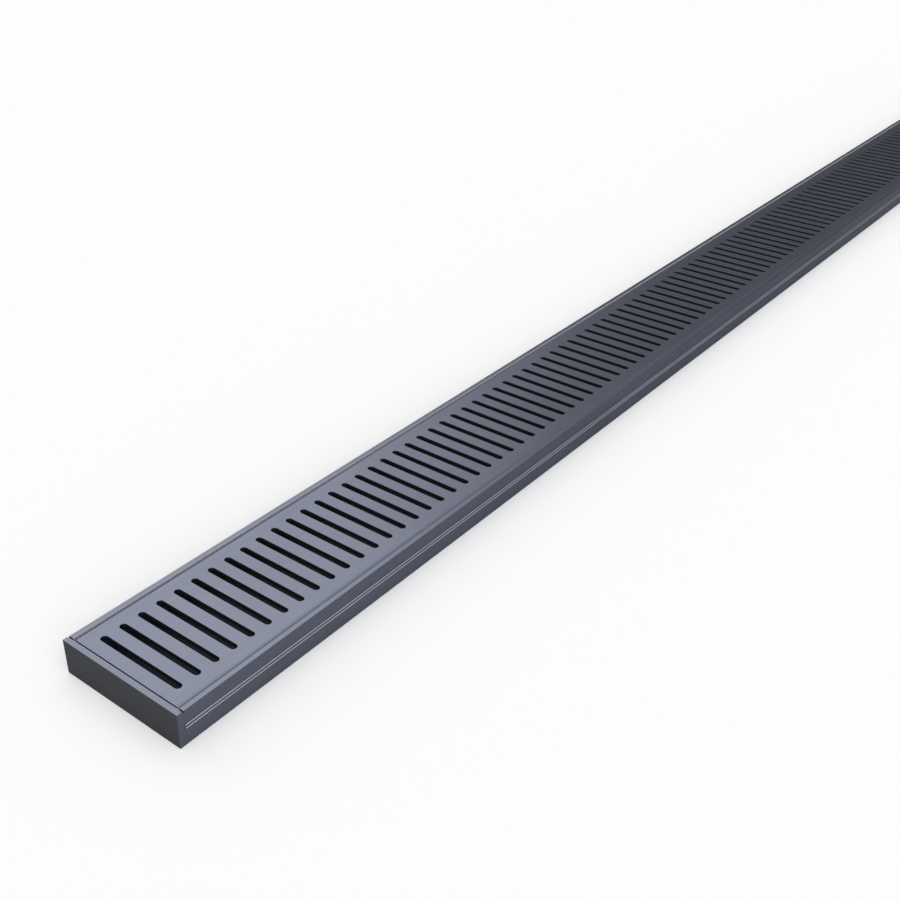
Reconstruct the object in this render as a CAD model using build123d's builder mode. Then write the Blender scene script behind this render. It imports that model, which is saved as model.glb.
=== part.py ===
from build123d import *
from math import floor
import os

# Linear channel drain, lying as it is laid: an extruded channel closed by an end cap at each end,
# and a slotted grate, itself an extruded profile, that stands in the channel on its two legs.
# Millimetres. +X runs along the drain, +Y across it and +Z up.
# The origin is at the middle of the underside.

# Overall size
length = 2000.0  # over both end caps
width = 100.0  # over the channel's walls, without their beads
height = 26.0  # underside to wall tops

# Channel section
wall = 3.5
floor_thickness = 2.0
arris = 0.2  # radius on the section's outer corners and wall tops, and round the end caps
floor_corner = 0.4  # radius where a wall meets the floor
bead_radius = 0.5  # half-round beads along the outside of both walls
bead_height = 12.6  # underside to the centre of the lower bead
bead_spacing = 2.5

# Outlet in the channel floor
pipe_diameter = 50.0
pipe_clearance = 0.25

# End caps
cap_thickness = 5.0
shadow_groove = 1.0  # width and depth of the groove along the cap's inner top edge
tongue_length = 3.0  # how far the locating tongue reaches into the channel
tongue_clearance = 0.2  # to the channel floor and to the grate

# Grate section
side_gap = 0.5  # to each channel wall
end_gap = 0.3  # to each end cap
top_drop = 0.3  # grate face below the wall tops
plate_thickness = 3.0
leg_thickness = 3.0
edge_radius = 2.5  # long top edges
inner_radius = 1.0  # under the plate, where a leg starts
foot_chamfer = 0.6  # clears the radius in the channel's corner

# Slots across the grate
slot_width = 5.0
slot_length = 69.0
slot_pitch = 15.0
slot_end_margin = 12.0  # least distance from the grate's end to a slot's centre line
slot_end_sides = 16  # the polygon that rounds a slot's two ends, plain because slots are many

# Sizes that follow
channel_length = length - 2 * cap_thickness
trough_width = width - 2 * wall
grate_length = channel_length - 2 * end_gap
grate_width = trough_width - 2 * side_gap
grate_height = height - floor_thickness - top_drop
space_width = grate_width - 2 * leg_thickness
space_height = grate_height - plate_thickness
slot_count = floor((grate_length - 2 * slot_end_margin) / slot_pitch) + 1

BASE_CENTRE = (Align.CENTER, Align.MIN)

# Channel: one extrusion with an open top, two beads along each side and the outlet in its floor
with BuildPart() as channel:
    with BuildSketch(Plane.YZ.offset(-channel_length / 2)) as channel_section:
        Rectangle(width, height, align=BASE_CENTRE)
        fillet(channel_section.vertices().group_by(Axis.Y)[0], arris)
        with Locations((0, floor_thickness)):
            Rectangle(trough_width, height, align=BASE_CENTRE, mode=Mode.SUBTRACT)
        fillet(channel_section.vertices().group_by(Axis.Y)[-1], arris)
        trough_corners = channel_section.vertices().filter_by_position(
            Axis.Y, floor_thickness, floor_thickness
        )
        fillet(trough_corners, floor_corner)
        with Locations((0, bead_height + bead_spacing / 2)):
            with GridLocations(width, bead_spacing, 2, 2):
                Circle(bead_radius)
    extrude(amount=channel_length)
    with Locations((0, 0, floor_thickness)):
        Hole(pipe_diameter / 2 + pipe_clearance, depth=floor_thickness)
channel.part.label = "channel"

# Grate: a profile like an upturned U, rounded along its long edges, slotted across its top
with BuildPart() as grate:
    with BuildSketch(Plane.YZ.offset(-grate_length / 2)) as grate_section:
        with Locations((0, floor_thickness)):
            Rectangle(grate_width, grate_height, align=BASE_CENTRE)
            fillet(grate_section.vertices().group_by(Axis.Y)[-1], edge_radius)
            Rectangle(space_width, space_height, align=BASE_CENTRE, mode=Mode.SUBTRACT)
        space_top = floor_thickness + space_height
        space_corners = grate_section.vertices().filter_by_position(Axis.Y, space_top, space_top)
        fillet(space_corners, inner_radius)
        chamfer(grate_section.vertices().group_by(Axis.Y)[0], foot_chamfer)
    extrude(amount=grate_length)
    with BuildSketch(Plane.XY.offset(height - top_drop)):
        with GridLocations(slot_pitch, slot_pitch, slot_count, 1):
            Rectangle(slot_width, slot_length - slot_width)
            with GridLocations(slot_width, slot_length - slot_width, 1, 2):
                RegularPolygon(slot_width / 2, slot_end_sides)
    extrude(amount=-plate_thickness, mode=Mode.SUBTRACT)
grate.part.label = "grate"

# Left end cap: a flat plate over the channel's end, grooved where it meets the wall tops and the
# grate, with a tongue that locates it between the grate's legs
with BuildPart() as end_cap_left:
    with BuildSketch(Plane.XZ):
        with Locations((-length / 2, 0)):
            Rectangle(cap_thickness, height, align=(Align.MIN, Align.MIN))
        with Locations((-channel_length / 2, height)):
            Rectangle(
                shadow_groove,
                shadow_groove,
                align=(Align.MAX, Align.MAX),
                mode=Mode.SUBTRACT,
            )
    extrude(amount=width / 2, both=True)
    outer_face = end_cap_left.faces().sort_by(Axis.X)[0]
    fillet(outer_face.edges(), arris)
    with BuildSketch(Plane.YZ.offset(-channel_length / 2)):
        with Locations((0, floor_thickness + tongue_clearance)):
            Rectangle(
                space_width - 2 * tongue_clearance,
                space_height - inner_radius - 2 * tongue_clearance,
                align=BASE_CENTRE,
            )
    extrude(amount=tongue_length)
end_cap_left.part.label = "end_cap_left"

# Right end cap: the same piece the other way round
with BuildPart() as end_cap_right:
    mirror(end_cap_left.part, about=Plane.YZ)
end_cap_right.part.label = "end_cap_right"

os.makedirs("parts", exist_ok=True)
for piece in (channel, grate, end_cap_left, end_cap_right):
    export_step(piece.part, f"parts/{piece.part.label}.step")
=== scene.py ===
import math

import bmesh
import bpy
from mathutils import Matrix, Vector


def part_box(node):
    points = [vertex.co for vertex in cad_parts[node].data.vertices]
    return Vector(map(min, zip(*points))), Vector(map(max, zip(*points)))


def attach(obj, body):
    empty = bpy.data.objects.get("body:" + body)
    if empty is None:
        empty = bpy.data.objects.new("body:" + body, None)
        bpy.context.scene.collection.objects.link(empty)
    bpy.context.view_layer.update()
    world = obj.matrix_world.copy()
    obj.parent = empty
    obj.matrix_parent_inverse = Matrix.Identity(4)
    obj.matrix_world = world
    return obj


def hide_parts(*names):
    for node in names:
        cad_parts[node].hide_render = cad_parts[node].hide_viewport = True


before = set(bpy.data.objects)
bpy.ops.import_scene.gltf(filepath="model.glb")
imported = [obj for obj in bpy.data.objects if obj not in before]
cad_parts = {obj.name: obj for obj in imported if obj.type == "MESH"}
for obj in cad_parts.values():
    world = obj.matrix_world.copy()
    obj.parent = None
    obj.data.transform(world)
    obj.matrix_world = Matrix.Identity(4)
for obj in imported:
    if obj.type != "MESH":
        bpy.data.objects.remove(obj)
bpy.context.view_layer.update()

# Linear channel drain in grey anodised aluminium: a beaded channel, a slotted grate that stands
# in it and an end cap at each end. Lengths are in metres.
MM = 0.001

# Boxes of the pieces, as they were built
channel_low, channel_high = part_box("channel")
grate_low, grate_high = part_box("grate")
cap_low, cap_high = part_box("end_cap_left")

# Channel section
bead_radius = 0.5 * MM
bead_heights = (12.6 * MM, 15.1 * MM)
bead_steps = 8
wall = 3.5 * MM
floor_thickness = 2.0 * MM
section_arris = 0.2 * MM
floor_corner = 0.4 * MM
outlet_radius = 25.25 * MM
outlet_sides = 72
half_width = channel_high.y - bead_radius
height = channel_high.z

# Grate section and slots
plate_thickness = 3.0 * MM
leg_thickness = 3.0 * MM
edge_radius = 2.5 * MM
inner_radius = 1.0 * MM
foot_chamfer = 0.6 * MM
slot_width = 5.0 * MM
slot_length = 69.0 * MM
slot_pitch = 15.0 * MM
slot_end_margin = 12.0 * MM
slot_arris = 0.2 * MM
slot_sides = 24

# End caps
shadow_groove = 1.0 * MM
tongue_arris = 0.3 * MM
tongue_clearance = 0.2 * MM

# Photograph's viewpoint, solved from its slots, corners and edges
image_size_px = 900
focal_px = 1117.2
principal_px = (339.98, 550.92)
sensor_mm = 36.0
camera_place = Vector((-1.28304, -0.40783, 0.46391))
camera_azimuth = math.radians(49.770)
camera_dip = math.radians(35.979)
camera_roll = math.radians(0.058)
clip_start = 10 * MM

# Tolerances of the mesh tools
WELD = 0.001 * MM
SAME = 0.01 * MM
WITHIN = 0.1 * MM
FLAT = 0.9999
SHARP_ANGLE = math.radians(40)

# A colour mixer's two inputs and its output, which other kinds of mixer have under one name
MIX_A, MIX_B, MIXED = 6, 7, 2

# Segments of an arris, of the grate's long edges and of its inner corners
arris_segments = 3
edge_segments = 8
inner_segments = 4

# Brushed anodised aluminium: two tones a little apart and lines along the drain. A real brush
# line is under 0.1 mm wide, too fine to show, so the lines are drawn as wide as they need.
brushed_tones = ("#9297a9", "#a1a6b8")
brushed_roughness = (0.18, 0.26)
brush_length = 60 * MM
brush_width = 0.7 * MM
brush_detail = {"Detail": 3.0, "Roughness": 0.6}
grain_depth = 0.002 * MM
tint_size = 70 * MM  # breadth of the slow changes in the dye
tint_detail = 2.0
tint_share = 0.35
tone_range = (0.3, 0.7)  # values of a pattern at which it reaches the one tone and the other
glancing_tint = "#b4b4b4"  # what the oxide leaves of the shine at a glancing view

# Tones and added dullness of the parts that differ: the outer sides, darker with painted shade;
# the beads' crests, brighter with a painted highlight; the trough, from painted shade on its floor
# to painted light on its upper walls; near-black painted shade on the channel's end faces in the
# caps' grooves; painted shade on the slots' walls; and the end caps' large faces, satin and
# darker, partly with painted shade
# Painted shade: the outer sides are darker than the top.
side_shade_tones = ("#575c67", "#616672")
side_dulling = 0.16
# Painted highlight on the beads' crests.
bead_highlight_tones = ("#b5bac7", "#bdc2cf")
bead_highlight_dulling = 0.0
# Painted shade on the trough's floor, fading to painted light on its upper walls.
trough_shade_and_light_tones = ("#595d66", "#e0e2e8")
trough_dulling = 0.45
shade_to_light_range = (8 * MM, 4 * MM)  # below the wall tops, from where the painted shade ends to where the painted light is full
# Painted shade: near black on the channel's end faces, seen in the caps' grooves.
groove_shade_tones = ("#15161a", "#191a1d")
groove_shade_dulling = 0.45
# Painted shade on the slots' walls.
slot_shade_tones = ("#484a51", "#4c4e55")
slot_shade_dulling = 0.3
# The caps' large faces: satin, and darker, partly with painted shade.
satin_and_shade_tones = ("#4a4c4f", "#505256")
satin_dulling = 0.16

# Studio: a wall of light behind the drain, a ceiling, a dim wall in front and a broad lamp.
# Angles go clockwise from +Y, or up from the floor.
floor_reach = 30.0
floor_colour = "#fafafa"
background_colour = "#ffffff"
low_level = 0.255
high_level = 0.86
wall_azimuth = math.radians(20)
wall_fade = (math.radians(47), math.radians(23))
wall_foot = (math.radians(4), math.radians(22))
ceiling_edge = (math.radians(32), math.radians(65))
ceiling_fade = (-0.7, 0.7)  # cosines of the angle from the bright wall
front_share = 0.5
fill_fade = (math.radians(115), math.radians(80))
fill_share = 0.3
key_level = 2.1
key_azimuth = math.radians(228)
key_rise = math.radians(44)
key_spread = math.radians(84)


def linear(hex_colour):
    """An sRGB colour such as '#8d93a8' as the linear RGBA that a shader reads."""
    parts = [int(hex_colour[i : i + 2], 16) / 255 for i in (1, 3, 5)]
    return [p / 12.92 if p <= 0.04045 else ((p + 0.055) / 1.055) ** 2.4 for p in parts] + [1.0]


def add_node(tree, kind, settings, inputs):
    """Adds a node with its settings. An input is a value, or the output that it is linked to."""
    node = tree.nodes.new(kind)
    for name, value in settings.items():
        setattr(node, name, value)
    for name, value in inputs.items():
        if isinstance(value, bpy.types.NodeSocket):
            tree.links.new(value, node.inputs[name])
        else:
            node.inputs[name].default_value = value
    return node


# Mesh tools

def flat_face(bm, points):
    """One face from its corners, given in order."""
    return bm.faces.new([bm.verts.new(point) for point in points])


def pull(bm, face, offset):
    """Extrudes a section by an offset into a closed bar."""
    grown = bmesh.ops.extrude_face_region(bm, geom=[face])
    moved = [part for part in grown["geom"] if isinstance(part, bmesh.types.BMVert)]
    bmesh.ops.translate(bm, verts=moved, vec=offset)


def round_edges(bm, edges, radius, segments):
    """Rounds edges to a radius, or chamfers them where there is one segment."""
    bmesh.ops.bevel(
        bm,
        geom=edges,
        offset=radius,
        offset_type="OFFSET",
        segments=segments,
        profile=0.5,
        affect="EDGES",
        material=-1,
        clamp_overlap=False,
    )


def edges_along_x(bm, y, z):
    """The long edges at a distance y from the middle, on both sides, and at a height z."""
    return [
        edge
        for edge in bm.edges
        if all(abs(abs(v.co.y) - y) < SAME and abs(v.co.z - z) < SAME for v in edge.verts)
        and abs(edge.verts[0].co.x - edge.verts[1].co.x) > SAME
    ]


def ring(bm, x, z, radius, straight, sides):
    """A ring of edges in a level plane: a circle pulled apart along Y by a straight length."""
    half_step = Matrix.Rotation(math.pi / sides, 4, "Z")
    made = bmesh.ops.create_circle(
        bm, radius=radius, segments=sides, matrix=Matrix.Translation((x, 0, z)) @ half_step
    )
    for side in (-1, 1):
        half = [v for v in made["verts"] if v.co.y * side > 0]
        bmesh.ops.translate(bm, verts=half, vec=(0, side * straight / 2, 0))
    return list({edge for v in made["verts"] for edge in v.link_edges})


def pierce(bm, z_face, z_back, holes, radius, straight, sides, arris):
    """Cuts like holes, each with a fine arris at its upper mouth, through a level plate.

    The plate's two level faces come off, the holes' walls are bridged between rings of edges,
    and both faces are filled again round the rings.
    """
    rims = []
    for z, way in ((z_face, 1), (z_back, -1)):
        flats = [f for f in bm.faces if f.normal.z * way > FLAT and abs(f.verts[0].co.z - z) < SAME]
        plate = max(flats, key=lambda f: f.calc_area())
        rims.append(list(plate.edges))
        bmesh.ops.delete(bm, geom=[plate], context="FACES_ONLY")
    for x in holes:
        mouth = ring(bm, x, z_face, radius + arris, straight, sides)
        throat = ring(bm, x, z_face - arris, radius, straight, sides)
        back = ring(bm, x, z_back, radius, straight, sides)
        bmesh.ops.bridge_loops(bm, edges=mouth + throat)
        bmesh.ops.bridge_loops(bm, edges=throat + back)
        rims[0] += mouth
        rims[1] += back
    for rim in rims:
        bmesh.ops.triangle_fill(bm, use_beauty=True, edges=rim)


def finish_piece(name, bm, material, node):
    """Turns a mesh into a piece that stands for a built node, with smooth curved faces."""
    bmesh.ops.remove_doubles(bm, verts=bm.verts, dist=WELD)
    bmesh.ops.recalc_face_normals(bm, faces=bm.faces)
    for edge in bm.edges:
        edge.smooth = edge.calc_face_angle() < SHARP_ANGLE
    for face in bm.faces:
        face.smooth = max(abs(part) for part in face.normal) < FLAT
    mesh = bpy.data.meshes.new(name)
    bm.to_mesh(mesh)
    bm.free()
    mesh.materials.append(material)
    piece = bpy.data.objects.new(name, mesh)
    bpy.context.scene.collection.objects.link(piece)
    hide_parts(node)
    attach(piece, "root")


# Pieces

def make_channel(material):
    """The extruded channel: its section with two beads a side, pulled out, and the outlet."""
    x = channel_low.x
    inner = half_width - wall
    right_side = [(half_width, 0)]
    for centre in bead_heights:
        for step in range(bead_steps + 1):
            angle = math.pi * (step / bead_steps - 0.5)
            right_side.append(
                (
                    half_width + bead_radius * math.cos(angle),
                    centre + bead_radius * math.sin(angle),
                )
            )
    right_side += [(half_width, height), (inner, height), (inner, floor_thickness)]
    left_side = [(-y, z) for y, z in reversed(right_side)]
    bm = bmesh.new()
    section = flat_face(bm, [(x, y, z) for y, z in right_side + left_side])
    pull(bm, section, (channel_high.x - x, 0, 0))
    for y, z in ((half_width, 0), (half_width, height), (inner, height)):
        round_edges(bm, edges_along_x(bm, y, z), section_arris, arris_segments)
    round_edges(bm, edges_along_x(bm, inner, floor_thickness), floor_corner, arris_segments)
    bmesh.ops.recalc_face_normals(bm, faces=bm.faces)
    pierce(bm, floor_thickness, 0, [0], outlet_radius, 0, outlet_sides, section_arris)
    finish_piece("channel_extrusion", bm, material, "channel")


def make_grate(material):
    """The grate: an upturned U with rounded long edges, slotted across its top."""
    x, foot, top = grate_low.x, grate_low.z, grate_high.z
    outer = grate_high.y
    inner = outer - leg_thickness
    under = top - plate_thickness
    right_side = [(inner, under), (inner, foot), (outer, foot), (outer, top)]
    left_side = [(-y, z) for y, z in reversed(right_side)]
    bm = bmesh.new()
    section = flat_face(bm, [(x, y, z) for y, z in right_side + left_side])
    pull(bm, section, (-2 * x, 0, 0))
    round_edges(bm, edges_along_x(bm, outer, top), edge_radius, edge_segments)
    round_edges(bm, edges_along_x(bm, inner, under), inner_radius, inner_segments)
    feet = edges_along_x(bm, outer, foot) + edges_along_x(bm, inner, foot)
    round_edges(bm, feet, foot_chamfer, 1)
    bmesh.ops.recalc_face_normals(bm, faces=bm.faces)
    length = grate_high.x - grate_low.x
    last = math.floor((length - 2 * slot_end_margin) / slot_pitch)
    slots = [(i - last / 2) * slot_pitch for i in range(last + 1)]
    straight = slot_length - slot_width
    pierce(bm, top, under, slots, slot_width / 2, straight, slot_sides, slot_arris)
    finish_piece("slotted_grate", bm, material, "grate")


def make_end_cap(name, node, side, material):
    """An end cap at side -1 or 1: a plate with a shadow groove, and its locating tongue."""
    outer_face, inner_face = cap_low.x, channel_low.x
    groove_face, groove_floor = inner_face - shadow_groove, height - shadow_groove
    bm = bmesh.new()
    outline = [
        (outer_face, 0),
        (inner_face, 0),
        (inner_face, groove_floor),
        (groove_face, groove_floor),
        (groove_face, height),
        (outer_face, height),
    ]
    plate = flat_face(bm, [(x, -half_width, z) for x, z in outline])
    pull(bm, plate, (0, 2 * half_width, 0))
    face_edges = [e for e in bm.edges if all(abs(v.co.x - outer_face) < SAME for v in e.verts)]
    round_edges(bm, face_edges, section_arris, arris_segments)
    reach = cap_high.x - inner_face
    tongue_half = grate_high.y - leg_thickness - tongue_clearance
    tongue_low = floor_thickness + tongue_clearance
    tongue_high = grate_high.z - plate_thickness - inner_radius - tongue_clearance
    centre = ((inner_face + cap_high.x) / 2, 0, (tongue_low + tongue_high) / 2)
    size = (reach, 2 * tongue_half, tongue_high - tongue_low)
    tongue = bmesh.ops.create_cube(bm, matrix=Matrix.LocRotScale(centre, None, size))
    tip = {e for v in tongue["verts"] for e in v.link_edges}
    tip = [e for e in tip if all(abs(v.co.x - cap_high.x) < SAME for v in e.verts)]
    round_edges(bm, tip, tongue_arris, arris_segments)
    if side > 0:
        bmesh.ops.scale(bm, verts=bm.verts, vec=(-1, 1, 1))
    finish_piece(name, bm, material, node)


# Finishes

def anodised_aluminium(name):
    """Brushed aluminium under a thin dyed oxide layer.

    The oxide keeps the metal's shine under a grey tint that wanders a little over a hand's
    breadth, and takes some of the light at a glancing view. The brush ran along the drain.
    """
    material = bpy.data.materials.new(name)
    material.use_nodes = True
    tree = material.node_tree
    shader = tree.nodes["Principled BSDF"]
    shader.inputs["Metallic"].default_value = 1.0
    shader.inputs["Specular Tint"].default_value = linear(glancing_tint)
    place = add_node(tree, "ShaderNodeTexCoord", {}, {}).outputs["Object"]
    brushed = (1 / brush_length, 1 / brush_width, 1 / brush_width)
    along = add_node(
        tree, "ShaderNodeMapping", {}, {"Vector": place, "Scale": brushed}
    ).outputs["Vector"]
    lines = add_node(
        tree, "ShaderNodeTexNoise", {}, {"Vector": along, "Scale": 1.0, **brush_detail}
    ).outputs["Fac"]
    tint = add_node(
        tree,
        "ShaderNodeTexNoise",
        {},
        {"Vector": place, "Scale": 1 / tint_size, "Detail": tint_detail},
    ).outputs["Fac"]
    pattern = add_node(
        tree, "ShaderNodeMix", {}, {"Factor": tint_share, "A": lines, "B": tint}
    ).outputs["Result"]
    tones = add_node(
        tree,
        "ShaderNodeMapRange",
        {},
        {"Value": pattern, "From Min": tone_range[0], "From Max": tone_range[1]},
    ).outputs["Result"]
    colour = add_node(
        tree,
        "ShaderNodeMix",
        {"data_type": "RGBA"},
        {"Factor": tones, MIX_A: linear(brushed_tones[0]), MIX_B: linear(brushed_tones[1])},
    )
    dullness = add_node(
        tree,
        "ShaderNodeMapRange",
        {},
        {"Value": lines, "To Min": brushed_roughness[0], "To Max": brushed_roughness[1]},
    )
    relief = add_node(
        tree, "ShaderNodeBump", {}, {"Height": lines, "Strength": 1.0, "Distance": grain_depth}
    )
    tree.links.new(colour.outputs[MIXED], shader.inputs["Base Color"])
    tree.links.new(dullness.outputs["Result"], shader.inputs["Roughness"])
    tree.links.new(relief.outputs["Normal"], shader.inputs["Normal"])
    return material, place, tones


def distances(tree, place):
    """How far a point lies from the middle along X and along Y, and its height."""
    parts = add_node(tree, "ShaderNodeSeparateXYZ", {}, {"Vector": place}).outputs
    away = [
        add_node(tree, "ShaderNodeMath", {"operation": "ABSOLUTE"}, {0: parts[axis]}).outputs[0]
        for axis in "XY"
    ]
    return away[0], away[1], parts["Z"]


def region(tree, *tests):
    """A mask that is 1 where each distance lies over or under its limit, and 0 elsewhere."""
    inside = 1.0
    for distance, way, limit in tests:
        passed = add_node(tree, "ShaderNodeMath", {"operation": way}, {0: distance, 1: limit})
        inside = add_node(
            tree, "ShaderNodeMath", {"operation": "MINIMUM"}, {0: inside, 1: passed.outputs[0]}
        ).outputs[0]
    return inside


def refinish(tree, inside, tones, pattern, dulling):
    """Gives a region two other tones that follow a pattern, and makes it duller."""
    shader = tree.nodes["Principled BSDF"]
    base, roughness = shader.inputs["Base Color"], shader.inputs["Roughness"]
    tone = add_node(
        tree,
        "ShaderNodeMix",
        {"data_type": "RGBA"},
        {"Factor": pattern, MIX_A: linear(tones[0]), MIX_B: linear(tones[1])},
    )
    colour = add_node(
        tree,
        "ShaderNodeMix",
        {"data_type": "RGBA"},
        {"Factor": inside, MIX_A: base.links[0].from_socket, MIX_B: tone.outputs[MIXED]},
    )
    dullness = add_node(
        tree,
        "ShaderNodeMath",
        {"operation": "MULTIPLY_ADD"},
        {0: inside, 1: dulling, 2: roughness.links[0].from_socket},
    )
    tree.links.new(colour.outputs[MIXED], base)
    tree.links.new(dullness.outputs[0], roughness)


def channel_finish():
    """Anodised outside, darker with painted shade and duller on the sides, with near-black
    painted shade on the end faces that show in the caps' grooves.

    The trough is matt, with painted shade on its floor that fades to painted light on its
    upper walls. The beads' crests carry a painted highlight.
    """
    material, place, tones = anodised_aluminium("brushed_anodised_channel")
    tree = material.node_tree
    along, across, rise = distances(tree, place)
    sides = region(tree, (across, "GREATER_THAN", half_width - WITHIN))
    beads = region(tree, (across, "GREATER_THAN", half_width + WITHIN))
    ends = region(tree, (along, "GREATER_THAN", channel_high.x - WITHIN))
    trough = region(
        tree,
        (across, "LESS_THAN", half_width - wall + WITHIN),
        (rise, "GREATER_THAN", floor_thickness - WITHIN),
    )
    # Share of painted light: 0 where the trough's painted shade is full, 1 near the wall tops.
    painted_light_share = add_node(
        tree,
        "ShaderNodeMapRange",
        {},
        {"Value": rise, "From Min": height - shade_to_light_range[0], "From Max": height - shade_to_light_range[1]},
    ).outputs["Result"]
    # Painted shade on the outer sides.
    refinish(tree, sides, side_shade_tones, tones, side_dulling)
    # Painted shade on the trough's floor, painted light on its upper walls.
    refinish(tree, trough, trough_shade_and_light_tones, painted_light_share, trough_dulling)
    # Painted highlight on the beads' crests.
    refinish(tree, beads, bead_highlight_tones, tones, bead_highlight_dulling)
    # Painted shade on the end faces in the caps' grooves.
    refinish(tree, ends, groove_shade_tones, tones, groove_shade_dulling)
    return material


def grate_finish():
    """Anodised, with nearly black walls in the slots, darkened with painted shade."""
    material, place, tones = anodised_aluminium("brushed_anodised_grate")
    tree = material.node_tree
    _, across, rise = distances(tree, place)
    # The slots' walls, darkened with painted shade.
    slot_wall_shade = region(
        tree,
        (across, "LESS_THAN", slot_length / 2 + slot_arris + WITHIN),
        (rise, "LESS_THAN", grate_high.z - WELD),
        (rise, "GREATER_THAN", grate_high.z - plate_thickness + SAME),
    )
    refinish(tree, slot_wall_shade, slot_shade_tones, tones, slot_shade_dulling)
    return material


def cap_finish():
    """Satin on the cap's large face, darker there partly with painted shade, and as the channel
    round its edges.
    """
    material, place, tones = anodised_aluminium("satin_anodised_end_cap")
    tree = material.node_tree
    along, across, _ = distances(tree, place)
    sides = region(tree, (across, "GREATER_THAN", half_width - WITHIN))
    face = region(tree, (along, "GREATER_THAN", -cap_low.x - WITHIN))
    # Painted shade on the outer sides.
    refinish(tree, sides, side_shade_tones, tones, side_dulling)
    # Satin on the large face, darker partly with painted shade.
    refinish(tree, face, satin_and_shade_tones, tones, satin_dulling)
    return material


# Studio

def make_floor():
    """A plain floor of matt white paper, with no shine, that takes the drain's shadow."""
    bm = bmesh.new()
    bmesh.ops.create_grid(bm, x_segments=1, y_segments=1, size=floor_reach)
    mesh = bpy.data.meshes.new("studio_floor")
    bm.to_mesh(mesh)
    bm.free()
    floor = bpy.data.objects.new("studio_floor", mesh)
    bpy.context.scene.collection.objects.link(floor)
    material = bpy.data.materials.new("matt_white_paper")
    material.use_nodes = True
    shader = material.node_tree.nodes["Principled BSDF"]
    shader.inputs["Base Color"].default_value = linear(floor_colour)
    shader.inputs["Roughness"].default_value = 1.0
    shader.inputs["Specular IOR Level"].default_value = 0.0
    mesh.materials.append(material)


def make_world():
    """A soft studio: a tall bright wall behind the drain, a ceiling, and a dim wall in front.

    The bright wall ends to the right, so that the drain's top darkens towards its far end. Seen
    by the camera itself, the studio is plain white.
    """
    world = bpy.data.worlds.new("soft_studio")
    bpy.context.scene.world = world
    world.use_nodes = True
    tree = world.node_tree
    way = add_node(tree, "ShaderNodeTexCoord", {}, {}).outputs["Generated"]
    rise = add_node(tree, "ShaderNodeSeparateXYZ", {}, {"Vector": way}).outputs["Z"]
    flat_way = add_node(
        tree, "ShaderNodeVectorMath", {"operation": "MULTIPLY"}, {0: way, 1: (1, 1, 0)}
    ).outputs["Vector"]
    level_way = add_node(
        tree, "ShaderNodeVectorMath", {"operation": "NORMALIZE"}, {0: flat_way}
    ).outputs["Vector"]
    to_wall = (math.sin(wall_azimuth), math.cos(wall_azimuth), 0)
    level_facing, facing = [
        add_node(
            tree, "ShaderNodeVectorMath", {"operation": "DOT_PRODUCT"}, {0: direction, 1: to_wall}
        ).outputs["Value"]
        for direction in (level_way, way)
    ]
    wall_width, wall_height, ceiling_reach, ceiling_dimming, front_wall = [
        add_node(
            tree,
            "ShaderNodeMapRange",
            {"interpolation_type": "SMOOTHSTEP"},
            {"Value": value, "From Min": start, "From Max": end, "To Min": low, "To Max": high},
        ).outputs["Result"]
        for value, (start, end), low, high in (
            (level_facing, map(math.cos, wall_fade), 0.0, 1.0),
            (rise, map(math.sin, wall_foot), 0.0, 1.0),
            (rise, map(math.sin, ceiling_edge), 0.0, 1.0),
            (facing, ceiling_fade, front_share, 1.0),
            (level_facing, map(math.cos, fill_fade), fill_share, 0.0),
        )
    ]
    bright_wall, ceiling = [
        add_node(
            tree, "ShaderNodeMath", {"operation": "MULTIPLY"}, {0: first, 1: second}
        ).outputs[0]
        for first, second in ((wall_width, wall_height), (ceiling_reach, ceiling_dimming))
    ]
    share = bright_wall
    for other in (ceiling, front_wall):
        share = add_node(
            tree, "ShaderNodeMath", {"operation": "MAXIMUM"}, {0: share, 1: other}
        ).outputs[0]
    level = add_node(
        tree,
        "ShaderNodeMapRange",
        {},
        {"Value": share, "To Min": low_level, "To Max": high_level},
    ).outputs["Result"]
    seen = add_node(tree, "ShaderNodeLightPath", {}, {}).outputs["Is Camera Ray"]
    strength = add_node(tree, "ShaderNodeMix", {}, {"Factor": seen, "A": level, "B": 1.0})
    background = tree.nodes["Background"]
    tree.links.new(strength.outputs["Result"], background.inputs["Strength"])
    background.inputs["Color"].default_value = linear(background_colour)


def make_key():
    """A very broad soft lamp in front and to the left, so that its shadow hides behind."""
    light = bpy.data.lights.new("key_lamp", "SUN")
    light.energy = key_level
    light.angle = key_spread
    lamp = bpy.data.objects.new("key_lamp", light)
    flat = math.cos(key_rise)
    source = Vector(
        (math.sin(key_azimuth) * flat, math.cos(key_azimuth) * flat, math.sin(key_rise))
    )
    lamp.rotation_euler = source.to_track_quat("Z", "Y").to_euler()
    bpy.context.scene.collection.objects.link(lamp)


def make_camera():
    """The photograph's camera, with the same framing."""
    flat = math.cos(camera_dip)
    ahead = Vector(
        (
            math.sin(camera_azimuth) * flat,
            math.cos(camera_azimuth) * flat,
            -math.sin(camera_dip),
        )
    )
    right = ahead.cross(Vector((0, 0, 1))).normalized()
    right = Matrix.Rotation(-camera_roll, 3, ahead) @ right
    up = right.cross(ahead)
    lens = bpy.data.cameras.new("photo_camera")
    lens.sensor_width = sensor_mm
    lens.lens = focal_px / image_size_px * sensor_mm
    lens.shift_x = 0.5 - principal_px[0] / image_size_px
    lens.shift_y = principal_px[1] / image_size_px - 0.5
    lens.clip_start = clip_start
    camera = bpy.data.objects.new("photo_camera", lens)
    turn = Matrix((right, up, -ahead)).transposed()
    camera.matrix_world = Matrix.Translation(camera_place) @ turn.to_4x4()
    bpy.context.scene.collection.objects.link(camera)
    bpy.context.scene.camera = camera


make_channel(channel_finish())
make_grate(grate_finish())

satin = cap_finish()
make_end_cap("left_end_cap", "end_cap_left", -1, satin)
make_end_cap("right_end_cap", "end_cap_right", 1, satin)

make_floor()
make_world()
make_key()
make_camera()

bpy.context.scene.view_settings.view_transform = "Standard"
